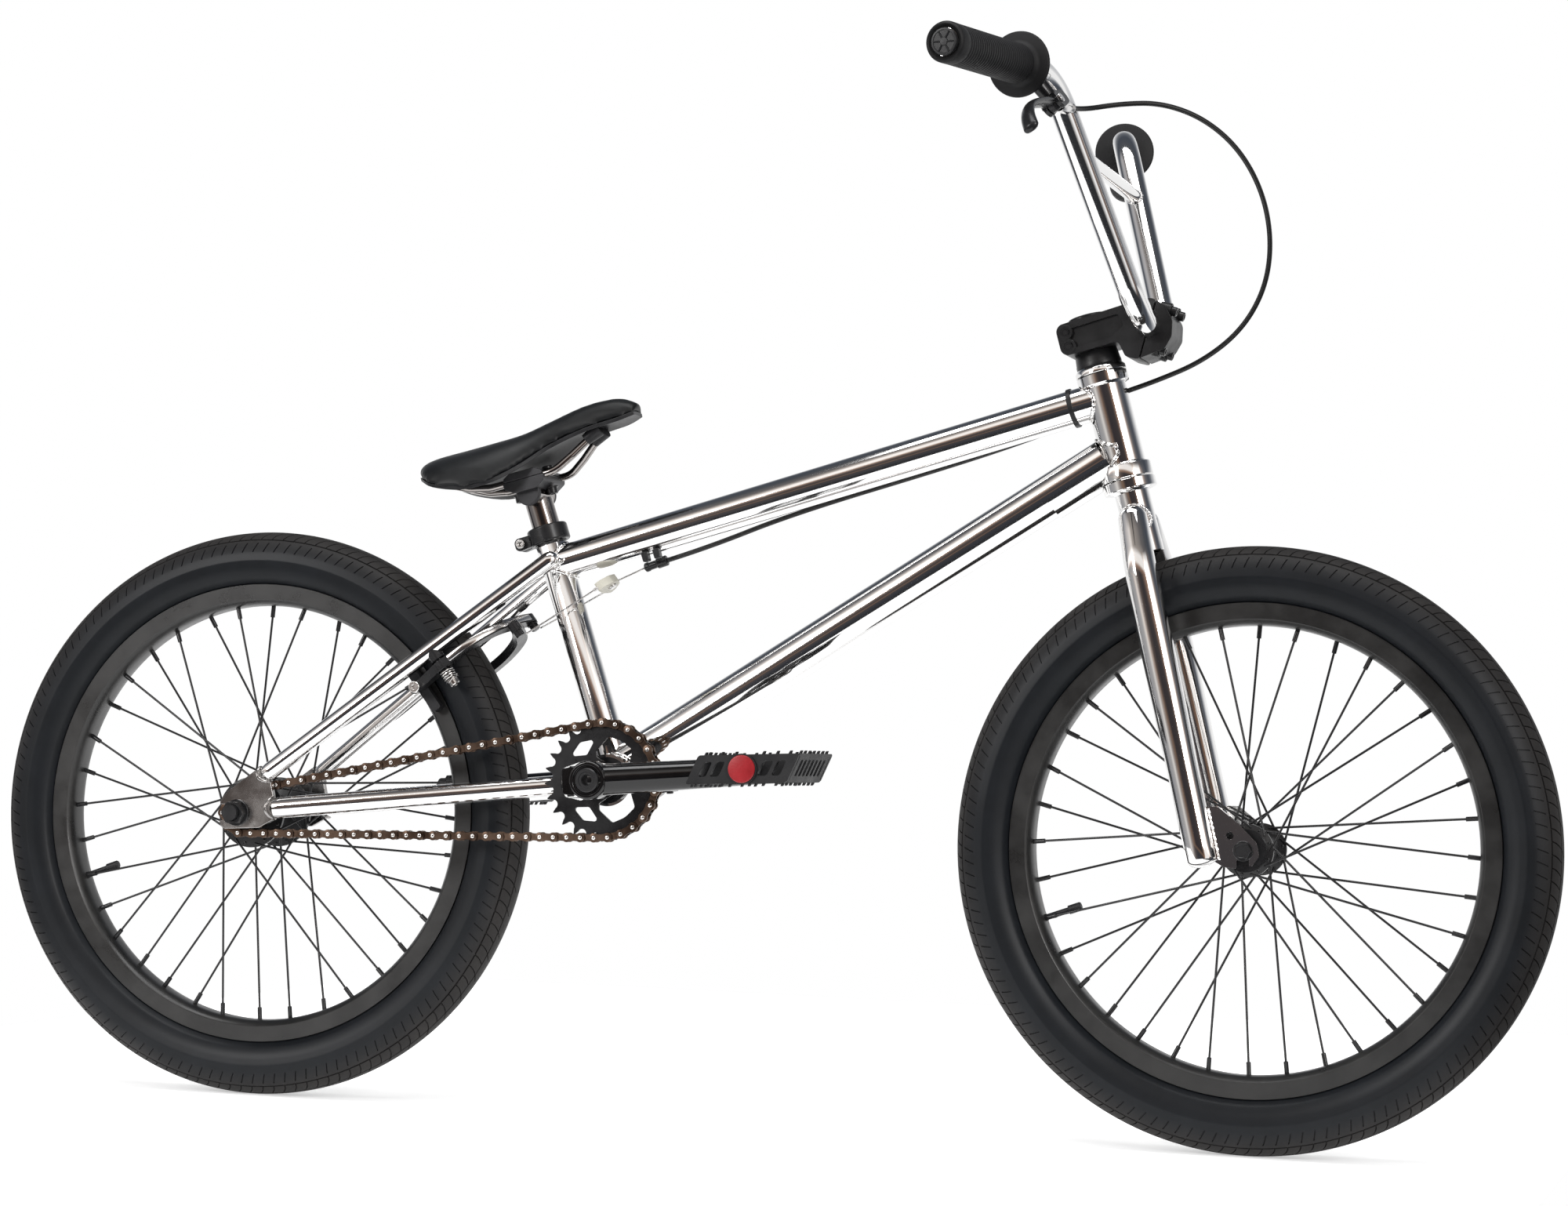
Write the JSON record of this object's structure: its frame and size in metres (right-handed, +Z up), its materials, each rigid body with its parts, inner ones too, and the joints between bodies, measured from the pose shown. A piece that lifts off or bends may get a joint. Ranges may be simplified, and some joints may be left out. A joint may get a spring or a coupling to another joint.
{
  "type": "bmx bike",
  "caption": "Small-wheeled BMX bike with a diamond frame, high crossbar handlebar, single-speed chain drive, rear rim brake and platform pedals.",
  "frame": {"origin": "on the ground, halfway between the axles and in the middle plane", "axes": "+X forward, +Y to the rider's left, +Z up"},
  "size_m": [1.4315, 0.7212, 0.919],
  "materials": {
    "chrome": "polished",
    "chrome_dark": "dark polished",
    "steel": "satin",
    "black_metal": "satin black",
    "alloy_black": "black anodised, satin",
    "stem_black": "matt black",
    "rim_black": "black with bare brake track",
    "chain_bronze": "bronze plates with bright pins",
    "tyre": "blue-black",
    "grip": "matt",
    "plug": "matt",
    "pad_arm": "satin black with black pads",
    "pedal": "moulded with a red end cap",
    "housing": "dark smoked",
    "wire": "bare stranded wire",
    "tie": "matt",
    "cushion": "smooth matt black cover",
    "base": "matt"
  },
  "bodies": {
    "frame": {"head_tube": "chrome", "top_tube": "chrome", "down_tube": "chrome", "seat_tube": "chrome", "bottom_bracket_shell": "chrome", "down_tube_gusset": "chrome", "chainstays": "chrome", "seatstays": "chrome", "rear_dropouts": "steel", "brake_studs": "chrome", "cable_stop": "alloy_black", "headset_bearings": "steel", "bottom_bracket_bearings": "steel", "seat_clamp": "alloy_black", "chain": "chain_bronze", "rear_axle": "black_metal", "rear_axle_nuts": "black_metal", "cable_housing": "housing", "zip_ties": "tie", "brake_pivot_hardware": "steel", "straddle_cable": "wire"},
    "fork": {"fork_steerer": "chrome", "fork_legs": "chrome", "fork_dropouts": "steel", "stem_body": "stem_black", "stem_faceplate": "stem_black", "stem_bolts": "stem_black", "headset_cover": "alloy_black", "handlebar": "chrome", "grips": "grip", "bar_plugs": "plug", "lever_perch": "steel", "front_axle": "black_metal", "front_axle_nuts": "black_metal"},
    "brake_lever": {"brake_lever": "alloy_black"},
    "front_wheel": {"front_tyre": "tyre", "front_rim": "rim_black", "front_spokes": "black_metal", "front_hub": "alloy_black", "front_hub_bearings": "steel"},
    "rear_wheel": {"rear_tyre": "tyre", "rear_rim": "rim_black", "rear_spokes": "black_metal", "rear_hub": "alloy_black", "rear_hub_bearings": "steel"},
    "driver": {"driver_cog": "black_metal"},
    "cranks": {"crank_spindle": "black_metal", "crank_arms": "black_metal", "sprocket": "black_metal", "spindle_bolts": "black_metal", "pedal_axles": "black_metal"},
    "pedal_right": {"pedal_right": "pedal"},
    "pedal_left": {"pedal_left": "pedal"},
    "brake_arm_right": {"brake_arm_right": "pad_arm"},
    "brake_arm_left": {"brake_arm_left": "pad_arm"},
    "seatpost": {"seatpost": "chrome_dark"},
    "saddle": {"saddle_clamp": "alloy_black", "saddle_rails": "chrome_dark", "saddle_base": "base", "saddle_cushion": "cushion"}
  },
  "joints": [
    {"name": "steering", "type": "hinge", "parent": "frame", "child": "fork", "pos_m": [0.341, 0, 0.5715], "axis": [-0.2756, 0, 0.9613], "range_deg": [-90, 90], "deforming": ["cable_housing"]},
    {"name": "front_wheel_spin", "type": "hinge", "parent": "fork", "child": "front_wheel", "pos_m": [0.4578, 0, 0.258], "axis": [0, 1, 0], "continuous": true},
    {"name": "rear_wheel_spin", "type": "hinge", "parent": "frame", "child": "rear_wheel", "pos_m": [-0.4578, 0, 0.258], "axis": [0, 1, 0], "continuous": true},
    {"name": "crank_spin", "type": "hinge", "parent": "frame", "child": "cranks", "pos_m": [-0.11242, 0, 0.2985], "axis": [0, 1, 0], "continuous": true, "deforming": ["chain"]},
    {"name": "driver_spin", "type": "hinge", "parent": "frame", "child": "driver", "pos_m": [-0.4578, 0, 0.258], "axis": [0, 1, 0], "continuous": true, "deforming": ["chain"]},
    {"name": "pedal_right_spin", "type": "hinge", "parent": "cranks", "child": "pedal_right", "pos_m": [0.06194, 0, 0.31345], "axis": [0, 1, 0], "continuous": true},
    {"name": "pedal_left_spin", "type": "hinge", "parent": "cranks", "child": "pedal_left", "pos_m": [-0.28678, 0, 0.28355], "axis": [0, 1, 0], "continuous": true},
    {"name": "brake_lever_pull", "type": "hinge", "parent": "fork", "child": "brake_lever", "pos_m": [0.30979, -0.19612, 0.86267], "axis": [-0.8073, 0.1829, -0.5611], "range_deg": [0, 20], "stiffness_Nm_per_rad": 0.3, "springref_deg": -20.05, "deforming": ["straddle_cable"]},
    {"name": "brake_arm_right_close", "type": "hinge", "parent": "frame", "child": "brake_arm_right", "pos_m": [-0.27116, -0.0395, 0.39604], "axis": [0.622, 0, -0.783], "range_deg": [0, 3.7], "deforming": ["straddle_cable"]},
    {"name": "brake_arm_left_close", "type": "hinge", "parent": "frame", "child": "brake_arm_left", "pos_m": [-0.26494, 0.0395, 0.38821], "axis": [-0.622, 0, 0.783], "range_deg": [0, 3.7], "deforming": ["straddle_cable"]},
    {"name": "seatpost_height", "type": "slide", "parent": "frame", "child": "seatpost", "axis": [-0.3305, 0, 0.9438], "range_m": [-0.018, 0.06]},
    {"name": "saddle_tilt", "type": "hinge", "parent": "seatpost", "child": "saddle", "pos_m": [-0.20193, 0, 0.55327], "axis": [0, 1, 0], "range_deg": [-8, 8]}
  ],
  "couplings": [
    {"joint": "driver_spin", "follows": "crank_spin", "ratio": 2.7778},
    {"joint": "brake_arm_right_close", "follows": "brake_lever_pull", "ratio": 0.18},
    {"joint": "brake_arm_left_close", "follows": "brake_lever_pull", "ratio": 0.18}
  ]
}
